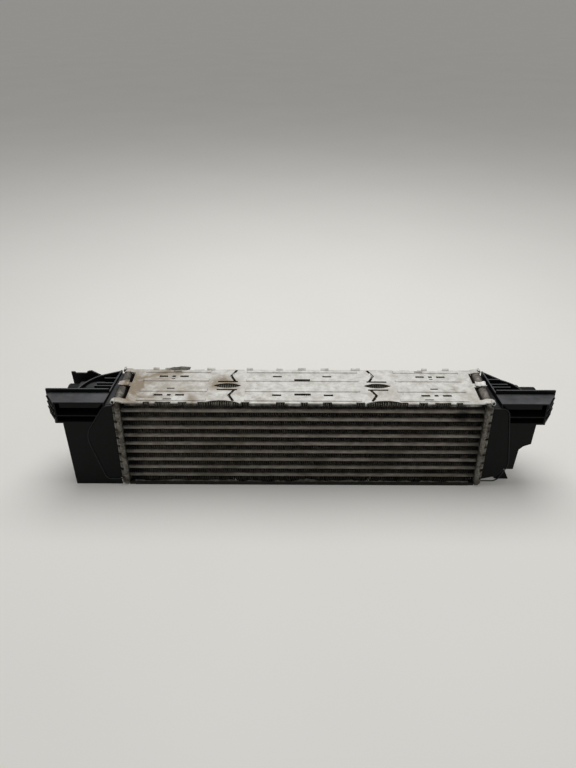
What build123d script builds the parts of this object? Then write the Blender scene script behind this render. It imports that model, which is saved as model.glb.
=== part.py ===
from build123d import *
import math
import os

# Charge-air cooler: a brazed aluminium tube-and-fin core between two moulded plastic end
# tanks that are crimped into its headers. The tanks carry the mounting rails and the air ports.
# Frame: +X to the right, +Y to the back, +Z up, origin on the floor under the middle of the core.
# A tank or header is described on the right (+X) side, with its reach measured outwards.

# Core
core_length = 510.0  # between the inner faces of the two headers
tube_count = 9
tube_pitch = 14.0
tube_height = 6.2
tube_depth = 88.0
tube_wall = 0.5
tube_nose = 1.6
tube_stand_out = 1.5  # tube end beyond the header floor, inside the tank
fin_end_gap = 1.5
fin_strip = 0.5  # height of the folded strip where it slopes
fin_wave = 40.0
turbulator_strip = 0.4
turbulator_wave = 42.0
turbulator_end_gap = 4.0
braze_gap = 0.05

# Header: a pan pressed from sheet, its rim folded over the foot of the tank
header_border = 6.0  # header wall beyond the tubes, front and back
header_rim = 0.2  # header wall beyond the side plates, top and bottom
header_wall = 1.8
header_bend = 2.4
header_corner = 6.0
header_rise = 10.2
fold_radius = 3.4
fold_facets = 2
tab_count = 5
tab_notch = 2.6
notch_depth = 5.2
end_notch_width = 9.0
end_notch_y = 3.0

# Gasket and tank foot
gasket_squeezed = 2.2
gasket_width = 3.0
foot_gap = 0.2

# Side plates
plate_wall = 1.6
lip_height = 4.9  # front and back edges bent down over the outer fins
plate_overhang = 3.0  # beyond the tubes, front and back
window_length = 8.0  # open strip between the plate's end and the header
tongue_width = 10.0
tongue_reach = 9.0  # onto the rim of the header
tongue_rise = 5.0  # length over which a tongue climbs to the rim
rib_width = 7.0
rib_rise = 1.3
rib_slope = 30.0
rib_edge = 7.3  # outer ribs, in from the front and back edges
rib_inner = 14.6  # inner ribs, from the middle line
rib_end = 15.0  # ribs stop short of the plate's ends

# Cuts in the side plates, with places along X and Y
joint_x = 100.0  # the two lines of relief cuts, left and right of the middle
joint_clear = (18.0, 35.0)  # ribs keep clear of the relief cuts, inwards and outwards
relief_width = 3.8
relief_foot = 3.0
relief_bend = 4.2
relief_rows = ((-11.0, -42.0), (11.0, 45.0))  # near and far end of each angled cut
eye_x = 8.0  # outwards from the line of relief cuts
eye_length = 40.0
eye_width = 13.0
eyebar_length = 29.0
eyebar_width = 3.6
eyebar_gap = 11.4
half_eye_x = 15.0
half_eye_length = 54.0
half_eye_width = 14.0
notch_reach = 2.4
middle_notches = ((-31.0, 12.0), (2.0, 10.0), (34.0, 13.0))  # place and length
joint_notches = ((-20.0, 12.0), (41.0, 10.0))  # outwards from the relief cuts
end_notches = ((30.0, 9.0), (53.0, 22.0), (80.0, 12.0))  # inwards from the plate's end
slot_width = 4.4
cluster_inset = 58.5  # middle of a cluster, in from the plate's end
cluster_slots = ((-15.2, 26.3), (15.2, 26.3), (-15.2, -26.3), (15.2, -26.3))
cluster_slot_length = 12.5
short_slots = ((0.0, 26.3), (0.0, 18.5), (0.0, -26.3))
short_slot_length = 5.5
lone_slot_y = -9.0
lone_slot_length = 11.0
rib_slots = ((-185.0, 39.3), (-189.0, -39.3), (173.0, 39.3), (176.0, -39.3))
rib_slot_length = 12.0
rib_slot_width = 2.6
middle_slots = ((-36.5, 26.3), (36.5, 26.3), (-36.5, -26.3), (36.5, -26.3))
middle_slot_length = 13.0
wide_slots = ((0.0, 14.3), (0.0, -24.3))
wide_slot_length = 23.0
wide_slot_width = 5.6

# Tank
tank_wall = 2.4
tank_edge = 2.4
tank_front_gap = 0.5  # between the folded rim and the tank's front and back faces
plate_moulding = 2.5  # wings, shelves, ribs and walls of the moulding
shelf_wall = 2.0
rail_drop = 1.0  # shelf below the top of the header
rail_depth = 26.0
rail_upstand = 6.0
rail_lip = 8.0
rail_ledge_drop = 21.0
rail_height = 34.0
rail_skirt = 18.0
rail_end_slant = 17.0
skirt_step = 4.5
lip_set_back = 1.5
wing_set_back = 0.7
ledge_start = 22.0
comb_teeth = 3
comb_depth = 2.2
ridge_front = 12.5  # the ridge along the header comes nearer to it at the back
ridge_back = 6.0
shroud_ribs = ((0.0, 35.0), (8.0, 33.0), (22.0, 25.0))  # place along Y and reach
arc_bulge = 5.5

foot_plate_y = -30.0

# Air ports
port_radius = 25.0
port_bore = 22.2
port_y = 12.5
port_reach = 77.0
port_root = 4.0
collar_radius = 28.0
collar_stand_out = 1.0  # the collar at the port's root, beyond the shroud

# Fits worked out from the sizes above
fin_height = tube_pitch - tube_height
stack_height = tube_count * tube_pitch + fin_height
header_height = stack_height + 2 * (lip_height + header_rim)
header_depth = tube_depth + 2 * header_border
core_mid = header_height / 2
header_face = core_length / 2
header_floor = header_face + header_wall
rim = header_face + header_rise
fold_start = rim - fold_radius
foot_face = header_floor + gasket_squeezed
foot_depth = header_depth - 2 * (header_wall + foot_gap)
foot_height = header_height - 2 * (header_wall + foot_gap)
foot_top = fold_start + fold_radius - header_wall - foot_gap
foot_round = fold_radius - header_wall - foot_gap
tank_half = header_depth / 2 - fold_radius - tank_front_gap
plate_depth = tube_depth + 2 * plate_overhang
plate_end = header_face - window_length
cluster_x = plate_end - cluster_inset
rib_outer = plate_depth / 2 - rib_edge
rib_rows = (-rib_outer, -rib_inner, rib_inner, rib_outer)
rib_spans = (
    (rib_end - plate_end, -joint_x - joint_clear[1]),
    (joint_clear[0] - joint_x, joint_x - joint_clear[0]),
    (joint_x + joint_clear[1], plate_end - rib_end),
)
plate_top = header_height - header_rim
plate_underside = plate_top - plate_wall
tube_length = 2 * (header_floor + tube_stand_out)
fin_length = core_length - 2 * fin_end_gap
rail_top = header_height - rail_drop
rail_bottom = rail_top - rail_height
rail_back = rail_depth - tank_half


class TankShape:
    """The sizes in which the two end tanks differ, with reaches beyond the rim of the header."""

    def __init__(self, corners, foot_z, wing, rear_plates, rail_reach, arc_reach, arc_end, port_z):
        self.corners = corners
        self.foot_z = foot_z
        self.wing = wing
        self.rear_plates = rear_plates
        self.rail_reach = rim + rail_reach
        self.arc_reach = rim + arc_reach
        self.arc_end = arc_end
        self.port_z = port_z


tall_tab = (
    (20, rail_bottom - 35),
    (76, rail_bottom - 30),
    (80.5, rail_top - 2),
    (75, rail_top - 2),
    (74, rail_top - 4),
    (58, rail_top - 4),
    (56, rail_top - 1),
    (50, rail_top),
    (38, rail_top - 7),
    (20, rail_top - 20),
)
standing_foot = ((15, 10), (27, 0), (46.5, 0), (40.5, 12.5), (34, 22), (15, 17))

left_tank = TankShape(
    corners=((12, header_height - 5.5, 12), (45, core_mid + 16, 34), (23.5, 10.5, 9)),
    foot_z=10.5,
    wing=((1.3, 0), (69.3, 0), (72.8, rail_bottom + shelf_wall), (24, rail_bottom + shelf_wall)),
    rear_plates=((tall_tab, tank_half - wing_set_back - plate_moulding),),
    rail_reach=98.5,
    arc_reach=59.0,
    arc_end=(32.0, 31.0),
    port_z=rail_top - 33.0,
)
right_tank = TankShape(
    corners=((23, header_height - 8.5, 12), (37.5, core_mid - 34, 22), (24, 16, 12)),
    foot_z=8.5,
    wing=(
        (20, rail_bottom + shelf_wall),
        (64.5, rail_bottom + shelf_wall),
        (63, rail_bottom - 34),
        (53, rail_bottom - 38),
        (47, rail_bottom - 44),
        (44.5, rail_bottom - 79),
        (20, rail_bottom - 79),
    ),
    rear_plates=((standing_foot, foot_plate_y),),
    rail_reach=92.5,
    arc_reach=51.0,
    arc_end=(28.0, 20.0),
    port_z=rail_top - 36.0,
)


def tube_centre(index):
    """Height of a tube, counted from the top."""
    return core_mid + ((tube_count - 1) / 2 - index) * tube_pitch


def fold_outline(span, height, strip, wave):
    """Outline of a folded strip that runs to and fro between two faces."""
    folds = max(2, round(2 * span / wave))
    low = -height / 2
    high = height / 2 - strip
    edge = [(span * (i / folds - 0.5), high if i % 2 else low) for i in range(folds + 1)]
    return edge + [(x, z + strip) for x, z in reversed(edge)]


def make_tube(index):
    with BuildPart() as tube:
        with BuildSketch(Plane.YZ):
            with Locations((0, tube_centre(index))):
                add(tube_section(0))
                add(tube_section(-tube_wall), mode=Mode.SUBTRACT)
        extrude(amount=tube_length / 2, both=True)
    return tube.part


def tube_section(growth):
    """A flat tube's outline with its bevelled noses, grown or shrunk all round."""
    with BuildSketch(Plane.XY) as section:
        Rectangle(tube_depth, tube_height)
        chamfer(section.vertices(), tube_nose)
        offset(amount=growth, kind=Kind.INTERSECTION)
    return section.sketch


def make_turbulator(index):
    width = tube_depth - 2 * (tube_nose + tube_wall)
    with BuildPart() as turbulator:
        with BuildSketch(Plane.YZ):
            with Locations((0, tube_centre(index))):
                outline = fold_outline(
                    width, tube_height - 2 * tube_wall, turbulator_strip, turbulator_wave
                )
                Polygon(*outline, align=None)
        extrude(amount=tube_length / 2 - turbulator_end_gap, both=True)
    return turbulator.part


def make_fin_row(index):
    """A row of fins above a tube; the top and bottom rows reach up into a side plate."""
    low = tube_centre(index) + tube_height / 2
    high = low + fin_height
    if index == 0:
        high = plate_underside
    if index == tube_count:
        low = header_height - plate_underside
    with BuildPart() as fin_row:
        with BuildSketch(Plane.XZ):
            with Locations((0, (low + high) / 2)):
                outline = fold_outline(fin_length, high - low, fin_strip, fin_wave)
                Polygon(*outline, align=None)
        extrude(amount=tube_depth / 2, both=True)
    return fin_row.part


def make_side_plate(is_top):
    """A shallow channel with relief cuts; the top one has raised ribs, slots and tongues too."""
    with BuildPart() as plate:
        with BuildSketch(Plane.YZ):
            with Locations((0, plate_top - lip_height / 2)):
                Rectangle(plate_depth, lip_height)
            with Locations((0, plate_underside - lip_height / 2)):
                Rectangle(plate_depth - 2 * plate_wall, lip_height, mode=Mode.SUBTRACT)
        extrude(amount=plate_end, both=True)
        if is_top:
            with BuildSketch(Plane.XY.offset(plate_top)):
                rib_pads()
            extrude(amount=rib_rise, taper=rib_slope)
        with BuildSketch(Plane.XY.offset(plate_top)):
            relief_cuts()
            if is_top:
                edge_notches()
                slot_clusters()
        extrude(amount=2 * lip_height, both=True, mode=Mode.SUBTRACT)
        if is_top:
            end_tongues()
    return plate.part


def rib_pads():
    for start, end in rib_spans:
        with Locations(*[((start + end) / 2, y) for y in rib_rows]):
            Rectangle(end - start, rib_width)


def relief_cuts():
    """An eye, two bars and two angled cuts, once on each side of the middle."""
    for side in (-1, 1):
        foot = side * (joint_x - relief_foot)
        for y_near, y_far in relief_rows:
            with BuildLine() as cut:
                bend = (side * (joint_x + relief_bend), (y_near + y_far) / 2)
                Polyline((foot, y_near), bend, (foot, y_far))
            trace(cut.line, line_width=relief_width)
        middle = side * (joint_x + eye_x)
        eye(middle, 0, eye_length, eye_width)
        with Locations((middle, eyebar_gap), (middle, -eyebar_gap)):
            Rectangle(eyebar_length, eyebar_width)


def eye(x, y, length, width):
    """An eye-shaped opening between two arcs."""
    with BuildLine() as lids:
        for way in (-1, 1):
            ThreePointArc((x - length / 2, y), (x, y + way * width / 2), (x + length / 2, y))
    make_face(lids.line)


def edge_notches():
    """Notches along the front and back edges, and half eyes beside the relief cuts."""
    edge = plate_depth / 2 - notch_reach / 2
    notches = list(middle_notches)
    for side in (-1, 1):
        notches += [(side * (joint_x + x), length) for x, length in joint_notches]
        notches += [(side * (plate_end - x), length) for x, length in end_notches]
        eye(side * (joint_x + half_eye_x), -plate_depth / 2, half_eye_length, half_eye_width)
    for x, length in notches:
        with Locations((x, -edge), (x, edge)):
            Rectangle(length, notch_reach)


def slot_clusters():
    """The short slots: one cluster at each end and six slots about the middle."""
    for side in (-1, 1):
        with Locations((side * cluster_x, 0)):
            slots(cluster_slots, cluster_slot_length, slot_width)
            slots(short_slots, short_slot_length, slot_width)
            slots([(0, lone_slot_y)], lone_slot_length, slot_width)
    slots(rib_slots, rib_slot_length, rib_slot_width)
    slots(middle_slots, middle_slot_length, slot_width)
    slots(wide_slots, wide_slot_length, wide_slot_width)


def slots(places, length, width):
    with Locations(*places):
        Rectangle(length, width)


def end_tongues():
    """Three tongues at each end rise from the plate and lie on the rim of the header."""
    mid_height = plate_underside + plate_wall / 2
    seat_height = header_height + plate_wall / 2
    edge = plate_depth / 2 - tongue_width / 2
    for side in (-1, 1):
        for y in (-edge, end_notch_y, edge):
            with BuildSketch(Plane.XZ.offset(-y)) as tongue:
                with BuildLine():
                    Polyline(
                        (side * (plate_end - plate_wall), mid_height),
                        (side * (header_face - tongue_rise), mid_height),
                        (side * header_face, seat_height),
                        (side * (header_face + tongue_reach), seat_height),
                    )
                trace(line_width=plate_wall)
            extrude(tongue.sketch, amount=tongue_width / 2, both=True)


def make_header():
    with BuildPart() as header:
        with BuildSketch(Plane.YZ.offset(header_face)):
            with Locations((0, core_mid)):
                bevelled_frame(0)
        extrude(amount=fold_start - header_face)
        chamfer(header.faces().sort_by(Axis.X)[0].edges(), header_bend)
        with BuildSketch(Plane.YZ.offset(header_floor)):
            with Locations((0, core_mid)):
                bevelled_frame(header_wall)
        extrude(amount=header_rise, mode=Mode.SUBTRACT)
        rim_folds(Plane.XY.offset(core_mid), 0, header_depth / 2, header_height)
        rim_folds(Plane.XZ, core_mid, header_height / 2, header_depth)
        tab_notches()
        tube_slots()
    return header.part


def bevelled_frame(inset):
    """The header's outline, that much smaller all round and with its corners cut off."""
    with BuildSketch(Plane.XY) as outline:
        Rectangle(header_depth - 2 * inset, header_height - 2 * inset)
        chamfer(outline.vertices(), header_corner - header_wall)
    add(outline.sketch)


def rim_folds(plane, middle, half, length):
    """The rim rolled over on two opposite sides of the pan, clear of its corners."""
    bend = fold_radius - header_wall / 2
    turn = math.pi / 2 / fold_facets
    for way in (-1, 1):
        seat = middle + way * (half - fold_radius)
        points = [
            (fold_start + bend * math.sin(turn * i), seat + way * bend * math.cos(turn * i))
            for i in range(fold_facets + 1)
        ]
        with BuildSketch(plane) as fold:
            with BuildLine():
                Polyline(*points)
            trace(line_width=header_wall)
        extrude(fold.sketch, amount=length / 2 - header_corner, both=True)


def tab_notches():
    """Notches that part the folded rim into tabs: four in each long side, one in each end."""
    middle = rim - notch_depth / 2
    pitch = (header_height - 2 * header_corner + tab_notch) / tab_count
    heights = [header_corner - tab_notch / 2 + i * pitch for i in range(1, tab_count)]
    with Locations(*[(middle, 0, z) for z in heights]):
        Box(notch_depth, 2 * header_depth, tab_notch, mode=Mode.SUBTRACT)
    with Locations((middle, end_notch_y, core_mid)):
        Box(notch_depth, end_notch_width, 2 * header_height, mode=Mode.SUBTRACT)


def tube_slots():
    with BuildSketch(Plane.YZ.offset(header_face)) as slots:
        with Locations(*[(0, tube_centre(i)) for i in range(tube_count)]):
            add(tube_section(braze_gap))
    extrude(slots.sketch, amount=header_wall, mode=Mode.SUBTRACT)


def make_gasket():
    with BuildPart() as gasket:
        with BuildSketch(Plane.YZ.offset(header_floor)):
            with Locations((0, core_mid)):
                bevelled_frame(header_wall + foot_gap)
                inner_depth = foot_depth - 2 * gasket_width
                inner_height = foot_height - 2 * gasket_width
                Rectangle(inner_depth, inner_height, mode=Mode.SUBTRACT)
        extrude(amount=gasket_squeezed)
    return gasket.part


def air_box_face(shape, start):
    """Side view of the air box, from the header's side round its bulge."""
    path = [(start, shape.corners[0][1])]
    path += [(rim + reach, z) for reach, z, _ in shape.corners]
    path += [(start, shape.foot_z)]
    with BuildLine() as around:
        bulge = FilletPolyline(*path, radius=[radius for _, _, radius in shape.corners])
        Line(bulge @ 1, bulge @ 0)
    make_face(around.line)


def air_box(shape):
    """The closed block of the air box with its rounded front and back edges."""
    with BuildSketch(Plane.XZ) as side_view:
        air_box_face(shape, foot_face)
    block = extrude(side_view.sketch, amount=tank_half, both=True)
    edges = block.faces().filter_by(Axis.Y).edges()
    chamfer(edges.filter_by_position(Axis.X, foot_face + tank_wall, rim + port_reach), tank_edge)


def foot_flange():
    """The flange that the folded rim of the header holds down on the gasket."""
    with BuildSketch(Plane.YZ.offset(foot_face)) as outline:
        with Locations((0, core_mid)):
            bevelled_frame(header_wall + foot_gap)
    flange = extrude(outline.sketch, amount=foot_top - foot_face, mode=Mode.PRIVATE)
    rounded = flange.faces().sort_by(Axis.X)[-1].edges()
    add(flange.chamfer(foot_round, None, rounded))


def upright_plate(outline, y_front, thickness):
    """A plate of the moulding that stands square to the depth."""
    with BuildSketch(Plane.XZ.offset(-y_front)) as plate:
        Polygon(*[(rim + reach, z) for reach, z in outline], align=None)
    extrude(plate.sketch, amount=-thickness)


def ridge_at(y):
    """Reach of the ridge's outer face at that depth."""
    return ridge_front + (ridge_back - ridge_front) * (y + tank_half) / (2 * tank_half)


def shelf_plate(z, front_start, back_start, shape):
    """A level plate of the rail; its outer end runs aslant, longer at the back."""
    front_end = shape.rail_reach - rail_end_slant
    with BuildSketch(Plane.XY.offset(z)) as plate:
        Polygon(
            (rim + front_start, -tank_half),
            (front_end, -tank_half),
            (shape.rail_reach, rail_back),
            (rim + back_start, rail_back),
            align=None,
        )
    extrude(plate.sketch, amount=shelf_wall)


def rail(shape):
    """The channel that slides on the car's bracket: shelf, lip, ledge, floor, wall and end."""
    front_end = shape.rail_reach - rail_end_slant
    wall_start = ridge_at(rail_back) - shelf_wall
    shelf_plate(rail_top - shelf_wall, ridge_front - shelf_wall, wall_start, shape)
    shelf_plate(rail_top - rail_ledge_drop - shelf_wall, ledge_start, ledge_start, shape)
    shelf_plate(rail_bottom, ledge_start, ledge_start, shape)
    wall = (
        (wall_start, rail_top + rail_upstand),
        (shape.rail_reach - rim, rail_top + rail_upstand),
        (shape.rail_reach - rim, rail_bottom),
        (shape.rail_reach - rim - skirt_step, rail_bottom - skirt_step),
        (shape.rail_reach - rim - skirt_step, rail_bottom - rail_skirt),
        (wall_start, rail_bottom - rail_skirt),
    )
    upright_plate(wall, rail_back, plate_moulding)
    lip_end = front_end - rim - rail_lip
    lip = (
        (ridge_front, rail_top - shelf_wall),
        (lip_end, rail_top - shelf_wall),
        (lip_end, rail_top - shelf_wall - rail_lip),
        (ridge_front + rail_lip, rail_top - shelf_wall - rail_lip),
    )
    upright_plate(lip, lip_set_back - tank_half, shelf_wall)
    rail_end(front_end, shape.rail_reach, rail_bottom, rail_height, 0)
    tooth_pitch = rail_height / (comb_teeth + 1)
    for i in range(1, comb_teeth + 1):
        z = rail_bottom + i * tooth_pitch
        rail_end(front_end, shape.rail_reach, z, shelf_wall, comb_depth)


def rail_end(front_end, back_end, z, height, stand_out):
    """The slanting end wall of the rail, or a tooth that stands out of it."""
    with BuildSketch(Plane.XY.offset(z)) as slant:
        Polygon(
            (front_end - plate_moulding, -tank_half),
            (front_end + stand_out, -tank_half),
            (back_end + stand_out, rail_back + plate_moulding),
            (back_end - plate_moulding, rail_back + plate_moulding),
            align=None,
        )
    extrude(slant.sketch, amount=height)


def port_shroud(shape):
    """The ridge along the header, the curved wall round the port's root and the ribs."""
    with BuildSketch(Plane.XY.offset(rail_bottom)) as walls:
        Polygon(
            (rim + ridge_front - shelf_wall, -tank_half),
            (rim + ridge_front, -tank_half),
            (rim + ridge_back, tank_half),
            (rim + ridge_back - shelf_wall, tank_half),
            align=None,
        )
        for y, reach in shroud_ribs:
            start = ridge_at(y) - shelf_wall / 2
            with Locations((rim + (start + reach) / 2, y)):
                Rectangle(reach - start, shelf_wall)
        start = (shape.arc_reach, rail_back)
        end = (rim + shape.arc_end[0], shape.arc_end[1])
        middle = ((start[0] + end[0]) / 2 + arc_bulge, (start[1] + end[1]) / 2 + arc_bulge / 2)
        with BuildLine() as shroud:
            ThreePointArc(start, middle, end)
            Line(end, (rim + ridge_back, tank_half - shelf_wall))
            offset(amount=shelf_wall, kind=Kind.INTERSECTION, side=Side.LEFT)
        make_face(shroud.line)
    extrude(walls.sketch, amount=rail_top - rail_bottom)


def port(shape):
    """The round spigot of the air port, with the collar that its hose is pushed up to."""
    root = rim + port_root
    collar_end = shape.arc_reach + collar_stand_out
    for radius, end in ((collar_radius, collar_end), (port_radius, rim + port_reach)):
        with BuildSketch(Plane.YZ.offset(root)) as section:
            with Locations((port_y, shape.port_z)):
                Circle(radius)
        extrude(section.sketch, amount=end - root)


def port_passage(shape):
    with BuildSketch(Plane.YZ.offset(rim + port_root + shelf_wall)) as passage:
        with Locations((port_y, shape.port_z)):
            Circle(port_bore)
    extrude(passage.sketch, amount=port_reach, mode=Mode.SUBTRACT)


def make_tank(shape):
    with BuildPart() as tank:
        air_box(shape)
        foot_flange()
        upright_plate(shape.wing, wing_set_back - tank_half, plate_moulding)
        for outline, y_front in shape.rear_plates:
            upright_plate(outline, y_front, plate_moulding)
        rail(shape)
        port_shroud(shape)
        port(shape)
        with BuildSketch(Plane.XZ):
            air_box_face(shape, foot_face - 2 * tank_wall)
            offset(amount=-tank_wall, kind=Kind.INTERSECTION)
        extrude(amount=tank_half - tank_wall, both=True, mode=Mode.SUBTRACT)
        port_passage(shape)
    return tank.part


def save(piece, name):
    piece.label = name
    export_step(piece, f"parts/{name}.step")


def save_pair(piece, name):
    """Save a right-hand piece and its mirror image on the left."""
    save(piece, f"{name}_right")
    save(mirror(piece, about=Plane.YZ), f"{name}_left")


os.makedirs("parts", exist_ok=True)
for i in range(tube_count):
    save(make_tube(i), f"tube_{i + 1}")
    save(make_turbulator(i), f"turbulator_{i + 1}")
for i in range(tube_count + 1):
    save(make_fin_row(i), f"fin_row_{i + 1}")
save(make_side_plate(is_top=True), "side_plate_top")
plain_plate = make_side_plate(is_top=False)
save(mirror(plain_plate, about=Plane.XY.offset(core_mid)), "side_plate_bottom")
save_pair(make_header(), "header")
save_pair(make_gasket(), "gasket")
save(make_tank(right_tank), "tank_right")
save(mirror(make_tank(left_tank), about=Plane.YZ), "tank_left")
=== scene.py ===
"""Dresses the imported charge-air cooler with fine fins, pressed details and aged finishes."""

import logging
import math
import random
from dataclasses import dataclass
from enum import Enum

import bmesh
import bpy
from mathutils import Matrix, Vector, noise


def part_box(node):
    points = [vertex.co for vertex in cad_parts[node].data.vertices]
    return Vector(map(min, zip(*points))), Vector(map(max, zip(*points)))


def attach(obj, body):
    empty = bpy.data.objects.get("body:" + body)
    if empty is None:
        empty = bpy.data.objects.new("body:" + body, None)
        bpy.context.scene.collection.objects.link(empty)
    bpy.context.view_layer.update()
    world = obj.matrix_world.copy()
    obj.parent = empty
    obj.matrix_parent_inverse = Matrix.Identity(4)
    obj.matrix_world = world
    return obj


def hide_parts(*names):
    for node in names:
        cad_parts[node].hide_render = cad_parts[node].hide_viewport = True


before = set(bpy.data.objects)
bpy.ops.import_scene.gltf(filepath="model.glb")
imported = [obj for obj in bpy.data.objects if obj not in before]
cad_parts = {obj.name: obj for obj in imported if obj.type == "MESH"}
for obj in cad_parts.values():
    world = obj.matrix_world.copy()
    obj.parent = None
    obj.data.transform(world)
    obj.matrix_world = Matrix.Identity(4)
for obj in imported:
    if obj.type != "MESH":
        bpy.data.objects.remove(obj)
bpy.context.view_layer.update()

MM = 0.001
BODY = "root"
LOG = logging.getLogger("cooler")


class Side(Enum):
    """The two ends of the cooler, with the sign of their X."""

    LEFT = -1
    RIGHT = 1

    @property
    def label(self) -> str:
        """The side's name as the CAD nodes write it."""
        return self.name.lower()


# ------------------------------------------------------------------ materials


def linear(hex_code: str) -> tuple[float, float, float, float]:
    """Turn an sRGB hex colour into linear light.

    Args:
        hex_code: The colour as #RRGGBB.

    Returns:
        Red, green, blue and an alpha of 1.
    """
    parts = [int(hex_code[i : i + 2], 16) / 255 for i in (1, 3, 5)]
    light = [c / 12.92 if c <= 0.04045 else ((c + 0.055) / 1.055) ** 2.4 for c in parts]
    return (*light, 1.0)


def per_size(size_mm: float) -> float:
    """Give the texture scale at which one feature of a pattern spans that many millimetres."""
    return 1.0 / (size_mm * MM)


def add_node(
    tree: bpy.types.NodeTree, kind: str, values: dict | None = None, links: dict | None = None
) -> bpy.types.Node:
    """Add a shader node with its settings and its incoming links.

    Args:
        tree: The material's node tree.
        kind: The node's type, without the leading ShaderNode.
        values: Inputs by name or index, or properties by name, with their values.
        links: Inputs by name or index, with the output sockets that feed them.

    Returns:
        The new node.
    """
    node = tree.nodes.new("ShaderNode" + kind)
    for key, value in (values or {}).items():
        if isinstance(key, str) and hasattr(node, key):
            setattr(node, key, value)
        else:
            node.inputs[key].default_value = value
    for key, socket in (links or {}).items():
        tree.links.new(socket, node.inputs[key])
    return node


def start_material(name: str) -> tuple[bpy.types.Material, bpy.types.NodeTree]:
    """Make a material whose node tree is still empty.

    Args:
        name: The material's name.

    Returns:
        The material and its node tree.
    """
    material = bpy.data.materials.new(name)
    material.use_nodes = True
    material.node_tree.nodes.clear()
    return material, material.node_tree


@dataclass(frozen=True)
class GradedBand:
    """A stretch along one axis over which a layer, mostly painted shade, grows to its full share.
    """

    axis: str
    none_at: float
    full_at: float
    share: float
    inside_y: float = 0.0  # only nearer than this to the middle of the depth, anywhere when 0

    def build(self, tree: bpy.types.NodeTree, place: bpy.types.NodeSocket) -> bpy.types.NodeSocket:
        """Add the band to a material.

        Args:
            tree: The material's node tree.
            place: The Object coordinates.

        Returns:
            The band's share of its layer.
        """
        axes = add_node(tree, "SeparateXYZ", links={0: place}).outputs
        limits = {
            "From Min": self.none_at * MM,
            "From Max": self.full_at * MM,
            "To Max": self.share,
        }
        dirt = add_node(tree, "MapRange", limits, {"Value": axes[self.axis]}).outputs[0]
        if not self.inside_y:
            return dirt
        away = add_node(tree, "Math", {"operation": "ABSOLUTE"}, {0: axes["Y"]}).outputs[0]
        inside = add_node(
            tree, "Math", {"operation": "LESS_THAN", 1: self.inside_y * MM}, {0: away}
        ).outputs[0]
        return add_node(tree, "Math", {"operation": "MULTIPLY"}, {0: dirt, 1: inside}).outputs[0]


@dataclass(frozen=True)
class Stain:
    """A round patch of dried mud, or with a share below nothing a patch that is wiped clean."""

    centre: tuple[float, float, float]
    radius: float
    share: float
    core: float = 0.25  # share of the radius inside which the stain is full

    def build(self, tree: bpy.types.NodeTree, place: bpy.types.NodeSocket) -> bpy.types.NodeSocket:
        """Add the stain to a material.

        Args:
            tree: The material's node tree.
            place: The Object coordinates.

        Returns:
            The stain's share.
        """
        spot = tuple(c * MM for c in self.centre)
        away = add_node(tree, "VectorMath", {"operation": "DISTANCE", 1: spot}, {0: place})
        limits = {
            "From Min": self.radius * MM,
            "From Max": self.core * self.radius * MM,
            "To Max": self.share,
        }
        return add_node(tree, "MapRange", limits, {"Value": away.outputs["Value"]}).outputs[0]


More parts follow.
